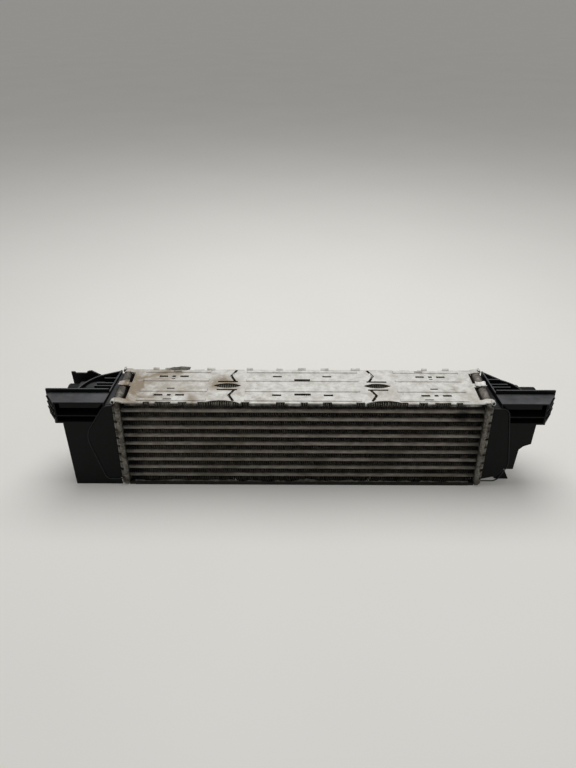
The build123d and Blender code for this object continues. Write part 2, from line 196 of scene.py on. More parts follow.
@dataclass(frozen=True)
class AgedMetal:
    """Bare aluminium sheet that has dulled, with mottling, stains, grit and painted corner shade.

    The mottling gives the eye an uneven matt grey, the stains give it age, and painted shade
    darkens every corner, found by ambient occlusion.
    """

    name: str
    clean: str
    dull: str
    stain: str
    grime_and_shade: str
    metallic: float = 0.35
    roughness: float = 0.55
    mottle_mm: float = 7.0
    stain_mm: float = 45.0
    stain_low: float = 0.48
    stain_high: float = 0.68
    grit_mm: float = 1.6
    grit_low: float = 0.60
    grit_high: float = 0.80
    # painted shade in the corners: ambient occlusion darkens them with the grime colour
    corner_mm: float = 4.0
    corner_shade_share: float = 0.85
    bump: float = 0.35
    bump_mm: float = 0.4
    mottle_range: tuple[float, float] = (0.38, 0.64)  # from clean to dull
    ragged_range: tuple[float, float] = (0.36, 0.60)  # how the placed stains break up
    corner_range: tuple[float, float] = (0.75, 0.25)  # openness at which the painted shade starts and is full
    smoother: float = 0.12  # roughness lost where the metal is clean
    rougher: float = 0.18  # and gained where it is dull
    stretch: tuple[float, float, float] = (1.0, 1.0, 1.0)
    stains: tuple[Stain, ...] = ()
    darkening: tuple[Stain, ...] = ()
    bands: tuple[GradedBand, ...] = ()
    tab_pitch_mm: float = 0.0  # pitch of the notches between crimped tabs, painted dark as their shade, none when 0
    tab_gap: float = 0.27  # share of that pitch which is notch
    tab_start_mm: float = 260.6  # the notches lie beyond this distance from the middle

    def build(self) -> bpy.types.Material:
        """Build the material.

        Returns:
            The material, ready to assign.
        """
        material, tree = start_material(self.name)
        coords = add_node(tree, "TexCoord").outputs["Object"]
        place = add_node(tree, "Mapping", {"Scale": self.stretch}, {"Vector": coords}).outputs[0]
        mottle = add_node(
            tree,
            "TexNoise",
            {"Scale": per_size(self.mottle_mm), "Detail": 8.0, "Roughness": 0.65},
            {"Vector": place},
        ).outputs["Fac"]
        blotch = add_node(
            tree,
            "TexNoise",
            {"Scale": per_size(self.stain_mm), "Detail": 6.0, "Roughness": 0.62, "Distortion": 0.6},
            {"Vector": place},
        ).outputs["Fac"]
        grit = add_node(
            tree,
            "TexNoise",
            {"Scale": per_size(self.grit_mm), "Detail": 3.0, "Roughness": 0.7},
            {"Vector": coords},
        ).outputs["Fac"]
        low, high = self.mottle_range
        tone = add_node(
            tree, "MapRange", {"From Min": low, "From Max": high}, {"Value": mottle}
        ).outputs[0]
        colour = add_node(
            tree,
            "Mix",
            {"data_type": "RGBA", 6: linear(self.clean), 7: linear(self.dull)},
            {0: tone},
        ).outputs[2]
        specks = add_node(
            tree,
            "MapRange",
            {"From Min": self.grit_low, "From Max": self.grit_high},
            {"Value": grit},
        ).outputs[0]
        # stains, then grit specks, then painted shade in corners and notches with the darker bands
        for share, layer in (
            (self.stain_share(tree, coords, blotch), self.stain),
            (specks, self.grime_and_shade),
            (self.shade_and_dark_band_share(tree, coords, mottle), self.grime_and_shade),
        ):
            colour = add_node(
                tree, "Mix", {"data_type": "RGBA", 7: linear(layer)}, {0: share, 6: colour}
            ).outputs[2]
        rough = add_node(
            tree,
            "MapRange",
            {
                "From Min": 0.3,
                "From Max": 0.7,
                "To Min": self.roughness - self.smoother,
                "To Max": self.roughness + self.rougher,
            },
            {"Value": mottle},
        ).outputs[0]
        height = add_node(
            tree, "Math", {"operation": "MULTIPLY_ADD", 1: 0.35}, {0: grit, 2: mottle}
        ).outputs[0]
        relief = add_node(
            tree, "Bump", {"Strength": self.bump, "Distance": self.bump_mm * MM}, {"Height": height}
        ).outputs[0]
        shader = add_node(
            tree,
            "BsdfPrincipled",
            {"Metallic": self.metallic},
            {"Base Color": colour, "Roughness": rough, "Normal": relief},
        )
        add_node(tree, "OutputMaterial", links={"Surface": shader.outputs[0]})
        return material

    def stain_share(
        self,
        tree: bpy.types.NodeTree,
        coords: bpy.types.NodeSocket,
        blotch: bpy.types.NodeSocket,
    ) -> bpy.types.NodeSocket:
        """Blend the scattered blotches with the stains that have a place of their own.

        Args:
            tree: The material's node tree.
            coords: The Object coordinates.
            blotch: The pattern of blotches.

        Returns:
            The share of stain.
        """
        share = add_node(
            tree,
            "MapRange",
            {"From Min": self.stain_low, "From Max": self.stain_high},
            {"Value": blotch},
        ).outputs[0]
        low, high = self.ragged_range
        ragged = add_node(
            tree, "MapRange", {"From Min": low, "From Max": high}, {"Value": blotch}
        ).outputs[0]
        for stain in self.stains:
            near = stain.build(tree, coords)
            share = add_node(
                tree,
                "Math",
                {"operation": "MULTIPLY_ADD", "use_clamp": True},
                {0: near, 1: ragged, 2: share},
            ).outputs[0]
        return share

    def shade_and_dark_band_share(
        self,
        tree: bpy.types.NodeTree,
        coords: bpy.types.NodeSocket,
        mottle: bpy.types.NodeSocket,
    ) -> bpy.types.NodeSocket:
        """Gather the painted shade of corners and tab notches, and the darker bands and patches.

        Args:
            tree: The material's node tree.
            coords: The Object coordinates.
            mottle: The fine pattern that breaks the bands up.

        Returns:
            The share of the grime and shade colour.
        """
        # painted shade: the less open a point is, the darker
        corner = add_node(
            tree, "AmbientOcclusion", {"samples": 6, "Distance": self.corner_mm * MM}
        ).outputs["AO"]
        open_at, shut_at = self.corner_range
        amount = add_node(
            tree,
            "MapRange",
            {"From Min": open_at, "From Max": shut_at, "To Max": self.corner_shade_share},
            {"Value": corner},
        ).outputs[0]
        broken = add_node(
            tree,
            "MapRange",
            {"From Min": 0.3, "From Max": 0.6, "To Min": 0.45, "To Max": 1.1},
            {"Value": mottle},
        ).outputs[0]
        for dirt in (*self.bands, *self.darkening):
            amount = add_node(
                tree,
                "Math",
                {"operation": "MULTIPLY_ADD", "use_clamp": True},
                {0: dirt.build(tree, coords), 1: broken, 2: amount},
            ).outputs[0]
        if not self.tab_pitch_mm:
            return amount
        # painted shade in the notches between the crimped tabs
        axes = add_node(tree, "SeparateXYZ", links={0: coords}).outputs
        turns = add_node(
            tree, "Math", {"operation": "DIVIDE", 1: self.tab_pitch_mm * MM}, {0: axes["Z"]}
        ).outputs[0]
        phase = add_node(tree, "Math", {"operation": "FRACT"}, {0: turns}).outputs[0]
        gap = add_node(
            tree, "Math", {"operation": "LESS_THAN", 1: self.tab_gap}, {0: phase}
        ).outputs[0]
        out = add_node(tree, "Math", {"operation": "ABSOLUTE"}, {0: axes["X"]}).outputs[0]
        beyond = add_node(
            tree, "Math", {"operation": "GREATER_THAN", 1: self.tab_start_mm * MM}, {0: out}
        ).outputs[0]
        return add_node(
            tree,
            "Math",
            {"operation": "MULTIPLY_ADD", "use_clamp": True},
            {0: gap, 1: beyond, 2: amount},
        ).outputs[0]


@dataclass(frozen=True)
class DustyPlasticWithSheen:
    """Black glass-filled nylon as moulded, with a fine grain and dust and painted sheen on what
    faces up.

    The grain gives the eye a satin black, the dust and painted sheen a grey film on the uppermost
    faces.
    """

    name: str
    resin: str
    faded: str
    dust: str
    roughness: float = 0.5
    gloss: float = 0.12
    grain_mm: float = 1.2
    patch_mm: float = 30.0
    # dust with a painted sheen on the level faces near the top
    dust_and_sheen_share: float = 0.55
    dust_and_sheen_from_mm: float = 134.0
    dust_and_sheen_full_mm: float = 141.0
    bump: float = 0.25
    bump_mm: float = 0.2
    nylon_ior: float = 1.53

    def build(self) -> bpy.types.Material:
        """Build the material.

        Returns:
            The material, ready to assign.
        """
        material, tree = start_material(self.name)
        coords = add_node(tree, "TexCoord").outputs["Object"]
        patches = add_node(
            tree,
            "TexNoise",
            {"Scale": per_size(self.patch_mm), "Detail": 7.0, "Roughness": 0.66},
            {"Vector": coords},
        ).outputs["Fac"]
        grain = add_node(
            tree, "TexNoise", {"Scale": per_size(self.grain_mm), "Detail": 2.0}, {"Vector": coords}
        ).outputs["Fac"]
        fade = add_node(
            tree, "MapRange", {"From Min": 0.35, "From Max": 0.7}, {"Value": patches}
        ).outputs[0]
        resin = add_node(
            tree,
            "Mix",
            {"data_type": "RGBA", 6: linear(self.resin), 7: linear(self.faded)},
            {0: fade},
        ).outputs[2]
        colour = add_node(
            tree,
            "Mix",
            {"data_type": "RGBA", 7: linear(self.dust)},
            {0: self.dust_and_sheen_amount(tree, coords, patches), 6: resin},
        ).outputs[2]
        rough = add_node(
            tree,
            "MapRange",
            {"To Min": self.roughness - 0.08, "To Max": self.roughness + 0.2},
            {"Value": patches},
        ).outputs[0]
        relief = add_node(
            tree, "Bump", {"Strength": self.bump, "Distance": self.bump_mm * MM}, {"Height": grain}
        ).outputs[0]
        shader = add_node(
            tree,
            "BsdfPrincipled",
            {"IOR": self.nylon_ior, "Specular IOR Level": self.gloss},
            {"Base Color": colour, "Roughness": rough, "Normal": relief},
        )
        add_node(tree, "OutputMaterial", links={"Surface": shader.outputs[0]})
        return material

    def dust_and_sheen_amount(
        self,
        tree: bpy.types.NodeTree,
        coords: bpy.types.NodeSocket,
        patches: bpy.types.NodeSocket,
    ) -> bpy.types.NodeSocket:
        """Lay dust and a painted sheen on the level faces near the top of the part.

        Args:
            tree: The material's node tree.
            coords: The Object coordinates.
            patches: The pattern of thicker and thinner dust and sheen.

        Returns:
            The share of dust and painted sheen.
        """
        normal = add_node(tree, "NewGeometry").outputs["Normal"]
        up = add_node(tree, "SeparateXYZ", links={0: normal}).outputs["Z"]
        level = add_node(
            tree, "MapRange", {"From Min": 0.35, "From Max": 0.95}, {"Value": up}
        ).outputs[0]
        film = add_node(
            tree,
            "MapRange",
            {"From Min": 0.3, "From Max": 0.7, "To Min": 0.4, "To Max": 1.0},
            {"Value": patches},
        ).outputs[0]
        band = GradedBand("Z", self.dust_and_sheen_from_mm, self.dust_and_sheen_full_mm, self.dust_and_sheen_share)
        dust_and_sheen_film = add_node(tree, "Math", {"operation": "MULTIPLY"}, {0: level, 1: film}).outputs[0]
        return add_node(
            tree, "Math", {"operation": "MULTIPLY"}, {0: dust_and_sheen_film, 1: band.build(tree, coords)}
        ).outputs[0]


@dataclass(frozen=True)
class DirtyFoil:
    """Thin fin foil with road dirt and painted shade, near black inside, paler at its front edges.

    The paler front edges let the eye read the folds as a comb in front, and a painted highlight
    on the crests shows them through the cuts on top.
    """

    name: str
    # the foil's dark base colour: road dirt together with painted shade deeper in
    dirt: str
    edge: str
    crest_highlight: str
    mud: str
    # colour of the painted shade beside the headers and of a dark patch
    darkening: str
    front_mm: float = 43.6
    edge_mm: float = 3.4
    crest_mm: float = 141.8  # the crests that show through the cuts of the top plate, where a highlight is painted
    crest_depth: float = 6.5  # how far daylight reaches down between them
    crest_share: float = 0.9
    clump_mm: float = 9.0
    # painted shade on the fins beside the headers, and a dark patch near the right header
    bands: tuple[GradedBand | Stain, ...] = (
        GradedBand("X", -226.0, -242.0, 1.0),
        GradedBand("X", 234.0, 250.0, 0.9),
        Stain((225.0, -44.0, 121.0), 17.0, 1.0),
    )

    def build(self) -> bpy.types.Material:
        """Build the material.

        Returns:
            The material, ready to assign.
        """
        material, tree = start_material(self.name)
        coords = add_node(tree, "TexCoord").outputs["Object"]
        clumps = add_node(
            tree,
            "TexNoise",
            {"Scale": per_size(self.clump_mm), "Detail": 6.0, "Roughness": 0.7},
            {"Vector": coords},
        ).outputs["Fac"]
        axes = add_node(tree, "SeparateXYZ", links={0: coords}).outputs
        depth = add_node(tree, "Math", {"operation": "ABSOLUTE"}, {0: axes["Y"]}).outputs[0]
        # paler towards the front edge; deeper in, the dark base colour is dirt and painted shade
        near_front = add_node(
            tree,
            "MapRange",
            {"From Min": (self.front_mm - self.edge_mm) * MM, "From Max": self.front_mm * MM},
            {"Value": depth},
        ).outputs[0]
        # painted highlight on the top crests, fading down between the folds
        crest_highlight = add_node(
            tree,
            "MapRange",
            {
                "From Min": (self.crest_mm - self.crest_depth) * MM,
                "From Max": self.crest_mm * MM,
                "To Max": self.crest_share,
            },
            {"Value": axes["Z"]},
        ).outputs[0]
        broken = add_node(
            tree, "MapRange", {"From Min": 0.36, "From Max": 0.58}, {"Value": clumps}
        ).outputs[0]
        uneven = add_node(tree, "Math", {"operation": "MULTIPLY"}, {0: near_front, 1: broken}).outputs[0]
        colour = add_node(
            tree,
            "Mix",
            {"data_type": "RGBA", 6: linear(self.dirt), 7: linear(self.edge)},
            {0: uneven},
        ).outputs[2]
        clods = add_node(
            tree, "MapRange", {"From Min": 0.60, "From Max": 0.72}, {"Value": clumps}
        ).outputs[0]
        # painted shade beside the headers, with the dark patch
        darkening = self.bands[0].build(tree, coords)
        for band in self.bands[1:]:
            darkening = add_node(
                tree,
                "Math",
                {"operation": "ADD", "use_clamp": True},
                {0: darkening, 1: band.build(tree, coords)},
            ).outputs[0]
        for share, layer in ((crest_highlight, self.crest_highlight), (clods, self.mud), (darkening, self.darkening)):
            colour = add_node(
                tree, "Mix", {"data_type": "RGBA", 7: linear(layer)}, {0: share, 6: colour}
            ).outputs[2]
        shader = add_node(
            tree, "BsdfPrincipled", {"Metallic": 0.2, "Roughness": 0.75}, {"Base Color": colour}
        )
        add_node(tree, "OutputMaterial", links={"Surface": shader.outputs[0]})
        return material


@dataclass(frozen=True)
class PlainMatt:
    """A plain matt surface for what isn't part of the cooler, or lies out of sight in it."""

    name: str
    colour: str
    roughness: float = 0.9
    tone_mm: float = 60.0
    tone: float = 0.06
    glow: float = 0.0  # light added only where the eye or a reflection sees the surface

    def build(self) -> bpy.types.Material:
        """Build the material.

        Returns:
            The material, ready to assign.
        """
        material, tree = start_material(self.name)
        coords = add_node(tree, "TexCoord").outputs["Object"]
        cloud = add_node(
            tree, "TexNoise", {"Scale": per_size(self.tone_mm)}, {"Vector": coords}
        ).outputs["Fac"]
        base = linear(self.colour)
        darker = (*(c * (1 - self.tone) for c in base[:3]), 1.0)
        colour = add_node(
            tree, "Mix", {"data_type": "RGBA", 6: base, 7: darker}, {0: cloud}
        ).outputs[2]
        shader = add_node(
            tree, "BsdfPrincipled", {"Roughness": self.roughness}, {"Base Color": colour}
        )
        if self.glow:
            rays = add_node(tree, "LightPath").outputs
            seen = add_node(
                tree,
                "Math",
                {"operation": "MAXIMUM"},
                {0: rays["Is Camera Ray"], 1: rays["Is Glossy Ray"]},
            ).outputs[0]
            strength = add_node(
                tree, "Math", {"operation": "MULTIPLY", 1: self.glow}, {0: seen}
            ).outputs[0]
            tree.links.new(colour, shader.inputs["Emission Color"])
            tree.links.new(strength, shader.inputs["Emission Strength"])
        add_node(tree, "OutputMaterial", links={"Surface": shader.outputs[0]})
        return material


PLATE_SHEET = AgedMetal(
    name="weathered_plate_sheet",
    clean="#DAD9D4",
    dull="#B5B2AA",
    stain="#8A7D6A",
    grime_and_shade="#1F1B16",
    metallic=0.15,
    roughness=0.5,
    mottle_mm=13.0,
    stain_mm=38.0,
    stain_low=0.60,
    stain_high=0.82,
    grit_low=0.63,
    corner_mm=5.0,
    stains=(
        Stain((-245.0, 10.0, 143.8), 60.0, 1.0),
        Stain((-238.0, -30.0, 143.8), 45.0, 0.9),
        Stain((-190.0, 0.0, 143.8), 80.0, 0.5),
        Stain((-112.0, -8.0, 143.8), 42.0, 1.1),
        Stain((-150.0, -44.0, 143.8), 26.0, 0.7),
        Stain((-205.0, 40.0, 143.8), 34.0, 0.6),
        Stain((118.0, -20.0, 143.8), 30.0, 0.5),
        Stain((240.0, -38.0, 143.8), 30.0, 0.6),
        Stain((-173.0, -39.0, 143.8), 15.0, -1.0),
    ),
    # darker below the plate's face, on its bent-down lip; painted shade on the walls of the cuts
    # just under the face
    bands=(GradedBand("Z", 142.6, 141.6, 0.95), GradedBand("Z", 143.75, 143.45, 0.95, inside_y=46.7)),
)
# near-black bottom sheet: road grime together with painted shade under the core
GRIMY_SHADED_SHEET = AgedMetal(
    name="grimy_shaded_bottom_sheet",
    clean="#1D1B17",
    dull="#12100D",
    stain="#2A251E",
    grime_and_shade="#070605",
    roughness=0.7,
    mottle_mm=6.0,
    stain_mm=22.0,
)
TORN_SHEET = AgedMetal(
    name="torn_dull_sheet",
    clean="#BDBCB6",
    dull="#8E8D86",
    stain="#625D53",
    grime_and_shade="#24211C",
    metallic=0.2,
    mottle_mm=4.0,
)
MUDDY_SHEET = AgedMetal(
    name="muddy_frayed_sheet",
    clean="#6E6A60",
    dull="#3F3B33",
    stain="#2D2922",
    grime_and_shade="#15130F",
    roughness=0.7,
    mottle_mm=5.0,
    stain_mm=18.0,
)
TUBE_SKIN = AgedMetal(
    name="dull_tube_skin",
    clean="#8C877D",
    dull="#716C62",
    stain="#5A5549",
    grime_and_shade="#221E18",
    mottle_mm=5.0,
    stain_mm=30.0,
    grit_low=0.57,
    corner_mm=2.5,
    stretch=(0.4, 1.0, 1.0),
    # painted shade on the tubes beside the headers; below it a dark patch near the right header
    bands=(GradedBand("X", -225.0, -250.0, 0.7), GradedBand("X", 225.0, 250.0, 0.7)),
    darkening=(Stain((225.0, -44.0, 121.0), 17.0, 0.9),),
)
HEADER_METAL = AgedMetal(
    name="oxidised_header_metal",
    clean="#8A867D",
    dull="#55524A",
    stain="#383229",
    grime_and_shade="#14110E",
    mottle_mm=3.2,
    stain_mm=16.0,
    stain_low=0.45,
    stain_high=0.62,
    corner_mm=3.0,
    bump=0.6,
    # painted shade in the crimp notches, 14 mm apart
    tab_pitch_mm=14.0,
)
BEAD_METAL = AgedMetal(
    name="browned_bead_metal",
    clean="#8A857C",
    dull="#5E5850",
    stain="#40382F",
    grime_and_shade="#1B1712",
    mottle_mm=4.0,
    stain_mm=14.0,
    corner_mm=7.0,
    bump=0.6,
    # painted shade on the left beads, none on the right
    bands=(GradedBand("X", 100.0, -200.0, 0.45),),
)
FIN_FOIL = DirtyFoil(
    name="dirty_fin_foil",
    dirt="#1D1A15",
    edge="#746D60",
    crest_highlight="#D0CABC",
    mud="#4A4236",
    darkening="#050504",
)
TANK_PLASTIC = DustyPlasticWithSheen(
    name="moulded_tank_plastic", resin="#0A0C0B", faded="#0F1110", dust="#77777A"
)
# lighter resin: a painted highlight along the outline of each air box
SEAM_HIGHLIGHT_PLASTIC = DustyPlasticWithSheen(
    name="seam_painted_highlight_plastic", resin="#2C2F2E", faded="#3A3D3B", dust="#7B7B7D"
)
SEAL_RUBBER = PlainMatt(name="seal_rubber", colour="#141414", roughness=0.8)
FLOOR_PAINT = PlainMatt(name="pale_floor", colour="#DAD8D3", tone_mm=400.0, glow=0.14)


# ---------------------------------------------------------------------- pieces


def dress(names: list[str], material: bpy.types.Material) -> None:
    """Give a material to CAD nodes.

    Args:
        names: The nodes' names.
        material: What they are made of.
    """
    for name in names:
        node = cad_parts[name]
        for slot in node.material_slots:
            slot.link = "OBJECT"
            slot.material = material


def soften(
    shape: bmesh.types.BMesh,
    edges: list[bmesh.types.BMEdge],
    offset: float,
    segments: int = 2,
) -> None:
    """Round edges off.

    Args:
        shape: The mesh that they belong to.
        edges: The edges.
        offset: How far the rounding reaches from each edge.
        segments: The rounding's faces across.
    """
    bmesh.ops.bevel(
        shape,
        geom=edges,
        offset=offset,
        segments=segments,
        affect="EDGES",
        profile=0.5,
        material=-1,
    )


def thicken(shape: bmesh.types.BMesh, wall: float) -> None:
    """Turn an open surface into a sheet.

    Args:
        shape: The surface.
        wall: The sheet's thickness.
    """
    bmesh.ops.recalc_face_normals(shape, faces=shape.faces)
    bmesh.ops.solidify(shape, geom=shape.faces[:], thickness=wall)


def add_piece(
    name: str,
    shape: bmesh.types.BMesh,
    material: bpy.types.Material,
    replaces: tuple[str, ...] = (),
    smooth_angle: float = 40.0,
) -> bpy.types.Object:
    """Turn a shape drawn in millimetres into a piece that rides on the cooler.

    Args:
        name: The piece's name.
        shape: The mesh, in millimetres; it is freed.
        material: What the piece is made of.
        replaces: CAD nodes that the piece stands for.
        smooth_angle: Edges sharper than this many degrees stay sharp.

    Returns:
        The piece.
    """
    bmesh.ops.scale(shape, vec=(MM, MM, MM), verts=shape.verts)
    for face in shape.faces:
        face.smooth = True
    limit = math.radians(smooth_angle)
    for edge in shape.edges:
        edge.smooth = len(edge.link_faces) == 2 and edge.calc_face_angle(0.0) < limit
    mesh = bpy.data.meshes.new(name)
    shape.to_mesh(mesh)
    shape.free()
    mesh.materials.append(material)
    piece = bpy.data.objects.new(name, mesh)
    bpy.context.scene.collection.objects.link(piece)
    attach(piece, BODY)
    if replaces:
        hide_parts(*replaces)
    LOG.info("%s: %d faces", name, len(mesh.polygons))
    return piece


@dataclass
class Core:
    """The tubes and the folded fins between them, in millimetres."""

    fin_rows: int = 10
    fin_wave: float = 3.2  # from crest to crest of a fold
    foil: float = 0.16
    strips: int = 16  # louvred strips across the depth
    louvre_lean: float = 0.45
    front_inset: float = 0.4
    bend: float = 1.5  # how far handling has bent the front edges sideways
    bend_pitch: float = 4.0  # length over which the bend changes
    wander_pitch: float = 28.0  # length over which the pushed-in spots change
    crush: float = 2.2  # how far the worst spots are pushed in
    sound: float = 0.25  # share of the wander that leaves the edge where it is
    seed: int = 7

    def build(self) -> None:
        """Build the fins in place of the coarse rows, and dress the tubes."""
        foil = FIN_FOIL.build()
        for row in range(1, self.fin_rows + 1):
            self.build_fin_row(row, foil)
        tube = TUBE_SKIN.build()
        tubes = [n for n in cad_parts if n.startswith("tube_")]
        sheets = [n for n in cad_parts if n.startswith("turbulator_")]
        dress(tubes + sheets, tube)

    def build_fin_row(self, row: int, foil: bpy.types.Material) -> None:
        """Fold one row of foil, cut its louvres and bend its worn front edge.

        Args:
            row: The row, counted from the top.
            foil: The foil's material.
        """
        name = f"fin_row_{row}"
        low, high = (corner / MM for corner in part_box(name))
        length, depth, height = high - low
        depth -= 2 * self.front_inset
        middle = (low + high) / 2
        folds = round(2 * length / self.fin_wave)
        shape = bmesh.new()
        bmesh.ops.create_grid(shape, x_segments=folds, y_segments=self.strips, size=0.5)
        bmesh.ops.scale(shape, vec=(length - self.foil, depth, 1), verts=shape.verts)
        half = (height - self.foil) / 2
        step = (length - self.foil) / folds
        for vertex in shape.verts:
            fold = round((vertex.co.x + length / 2) / step)
            vertex.co.z = half if fold % 2 else -half
        across = [e for e in shape.edges if abs(e.verts[0].co.y - e.verts[1].co.y) < 1e-3]
        inner = [e for e in across if not e.is_boundary]
        bmesh.ops.split_edges(shape, edges=inner)
        strip = depth / self.strips
        for face in shape.faces:
            centre = face.calc_center_median()
            for vertex in face.verts:
                vertex.tag = vertex.co.y > centre.y
        draw = random.Random(self.seed + row)
        start = Vector((draw.uniform(0, 99), draw.uniform(0, 99), row * 3.7))
        for vertex in shape.verts:
            vertex.co.x += self.louvre_lean * (0.5 if vertex.tag else -0.5)
            if vertex.co.y < strip - depth / 2 and not vertex.tag:
                wander = noise.noise(vertex.co / self.wander_pitch + start)
                pushed = max(0.0, wander - self.sound)
                vertex.co.x += self.bend * noise.noise(vertex.co / self.bend_pitch + start)
                vertex.co.y += self.crush * pushed
        bmesh.ops.solidify(shape, geom=shape.faces[:], thickness=self.foil)
        bmesh.ops.translate(shape, vec=middle, verts=shape.verts)
        add_piece(f"fins_{row}", shape, foil, replaces=(name,), smooth_angle=20.0)


@dataclass
class SidePlates:
    """The top and bottom plates with their pressed, curled and torn details, in millimetres."""

    lip_height: float = 4.9  # front and back edges bent down over the outer fins
    half_depth: float = 47.0
    ceiling: float = 148.8  # nothing on the plate stands higher
    rim_half: float = 49.8  # and nothing on it reaches further to the front or back
    edge_inset: float = 0.6  # from the rear edge to the roots of what is bent up there
    dimple_radius: float = 2.0
    dimple_rise: float = 0.6
    dimple_oval: float = 0.8  # a dimple's reach front to back, for its length
    dimples: tuple[tuple[float, float], ...] = (
        (-208, 22), (-214, -21), (-140, 20), (-140, -19), (-70, 22), (-66, -8), (-70, -32),
        (62, 24), (64, -10), (60, -32), (146, 24), (142, -21), (212, -19), (214, 22),
    )  # fmt: skip
    curl_x: float = 263.0
    curl_radius: float = 3.0
    curl_wall: float = 0.9
    curl_clear: float = 0.6  # room between a curl and the ceiling
    curl_dents: tuple[float, float] = (0.25, 0.5)  # dents per millimetre, and their depth
    curl_runs: tuple[tuple[float, float, float], ...] = (  # start, end and turn in degrees
        (-49.4, -43.0, 320.0),
        (39.0, 47.0, 200.0),
    )
    tab_x: float = 257.5
    tab_y: float = 2.6
    tab_size: tuple[float, float] = (15.0, 12.0)
    tab_lift: float = 1.9  # above the plate's face
    tab_dish: float = 1.5  # how far its front and back edges turn up
    tab_taper: float = 0.25  # how fast it narrows towards its ends
    tab_wall: float = 0.8
    tab_dents: tuple[float, float] = (0.16, 2.0)
    flap_run: tuple[float, float] = (-206.0, -168.0)
    flap_rise: float = 5.2
    flap_ramp: tuple[float, float] = (0.35, 1.1)  # its rise at the left end, and the gain along it
    flap_skew: float = 2.0  # how far the torn edge is drawn to the right
    flap_lean: float = 2.4  # how far it leans back at the left end
    flap_sink: float = 0.5
    flap_wall: float = 0.6
    flap_dents: tuple[float, float] = (0.12, 1.4)
    rear_tab_section: tuple[float, float] = (4.4, 1.5)
    rear_tab_lean: float = 38.0
    rear_tab_lift: float = 1.1
    rear_tab_edge: float = 0.5
    rear_tabs: tuple[tuple[float, float], ...] = (  # place and length
        (-218, 9), (-136, 12), (-78, 9), (-33, 10), (0, 12),
        (34, 12), (80, 13), (183, 8), (215, 10),
    )  # fmt: skip
    burr_low: float = 4.6
    burr_high: float = 9.2
    burr_least: float = 0.3
    burr_back: float = 1.0  # from the front edge to the burr's foot
    burr_lean: float = 1.6
    burr_wall: float = 0.5
    foot_reach: float = 9.4
    foot_depth: float = 9.0
    foot_rise: float = 4.6
    foot_overlap: float = 1.0  # of a bottom tongue with its plate
    foot_clear: float = 0.1
    foot_edge: float = 0.6
    seed: int = 23

    def build(self) -> None:
        """Dress the plates and add their details."""
        sheet = PLATE_SHEET.build()
        torn = TORN_SHEET.build()
        grimy_shaded = GRIMY_SHADED_SHEET.build()
        dress(["side_plate_top"], sheet)
        dress(["side_plate_bottom"], grimy_shaded)
        self.build_dimples(sheet)
        self.build_rear_tabs(sheet)
        self.build_flap(torn)
        self.build_burr(MUDDY_SHEET.build())
        for side in Side:
            self.build_curls(side, sheet)
            self.build_middle_tab(side, sheet)
            self.build_bottom_tongues(side, grimy_shaded)

    def build_dimples(self, sheet: bpy.types.Material) -> None:
        """Press the small round locating dimples.

        Args:
            sheet: The plate's material.
        """
        top = self.plate_face()
        shape = bmesh.new()
        for x, y in self.dimples:
            dome = bmesh.ops.create_uvsphere(shape, u_segments=14, v_segments=8, radius=1.0)
            size = (self.dimple_radius, self.dimple_radius * self.dimple_oval, self.dimple_rise)
            bmesh.ops.scale(shape, vec=size, verts=dome["verts"])
            bmesh.ops.translate(shape, vec=(x, y, top), verts=dome["verts"])
        add_piece("plate_dimples", shape, sheet, smooth_angle=60.0)

    def build_curls(self, side: Side, sheet: bpy.types.Material) -> None:
        """Curl the tips of the two corner tongues into hooks over the header's rim.

        Args:
            side: The end of the plate.
            sheet: The plate's material.
        """
        shape = bmesh.new()
        axis = (side.value * self.curl_x, 0.0, self.ceiling - self.curl_radius - self.curl_clear)
        for start, end, turn in self.curl_runs:
            foot = Vector(axis) + Vector((0.0, 0.0, -self.curl_radius))
            corners = [shape.verts.new((foot.x, y, foot.z)) for y in (start, end)]
            edge = shape.edges.new(corners)
            bmesh.ops.spin(
                shape,
                geom=[*corners, edge],
                cent=axis,
                axis=(0.0, -side.value, 0.0),
                angle=math.radians(turn),
                steps=14,
            )
        self.crumple(shape, *self.curl_dents)
        thicken(shape, self.curl_wall)
        self.hold_down(shape)
        add_piece(f"corner_curls_{side.label}", shape, sheet, smooth_angle=50.0)

    def build_middle_tab(self, side: Side, sheet: bpy.types.Material) -> None:
        """Crumple the tab that lies between the two beads of a header.

        Args:
            side: The end of the plate.
            sheet: The plate's material.
        """
        shape = bmesh.new()
        bmesh.ops.create_grid(shape, x_segments=12, y_segments=10, size=0.5)
        bmesh.ops.scale(shape, vec=(*self.tab_size, 1.0), verts=shape.verts)
        for vertex in shape.verts:
            away = abs(vertex.co.y) / (self.tab_size[1] / 2)
            vertex.co.z += self.tab_dish * away**2
            vertex.co.y *= 1.0 - self.tab_taper * abs(vertex.co.x) / self.tab_size[0]
        place = (side.value * self.tab_x, self.tab_y, self.plate_face() + self.tab_lift)
        bmesh.ops.translate(shape, vec=place, verts=shape.verts)
        self.crumple(shape, *self.tab_dents)
        thicken(shape, self.tab_wall)
        self.hold_down(shape)
        add_piece(f"middle_tab_{side.label}", shape, sheet, smooth_angle=25.0)

